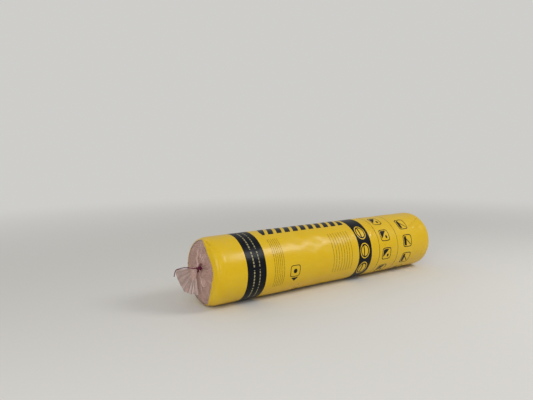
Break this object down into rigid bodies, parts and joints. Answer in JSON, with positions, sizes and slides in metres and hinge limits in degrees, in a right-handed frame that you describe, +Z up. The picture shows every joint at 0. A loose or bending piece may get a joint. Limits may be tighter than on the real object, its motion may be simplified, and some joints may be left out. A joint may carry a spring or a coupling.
{
  "type": "insulation roll",
  "caption": "Roll of mineral wool insulation blanket in a yellow printed film bag, gathered, tied and fanned out at one end and flat at the other, lying on its side.",
  "frame": {"origin": "on the floor, under the middle of the roll's whole length with its fan", "axes": "+X along the roll from its tied end to its sealed end, +Z up as the roll lies on its side"},
  "size_m": [1.3135, 0.2658, 0.266],
  "materials": {
    "wool": "rough",
    "film": "satin",
    "string": "satin"
  },
  "bodies": {
    "root": {"wool_roll": "wool", "film_bag": "film", "tie_string": "string", "tie_loose_end": "string"}
  },
  "joints": []
}
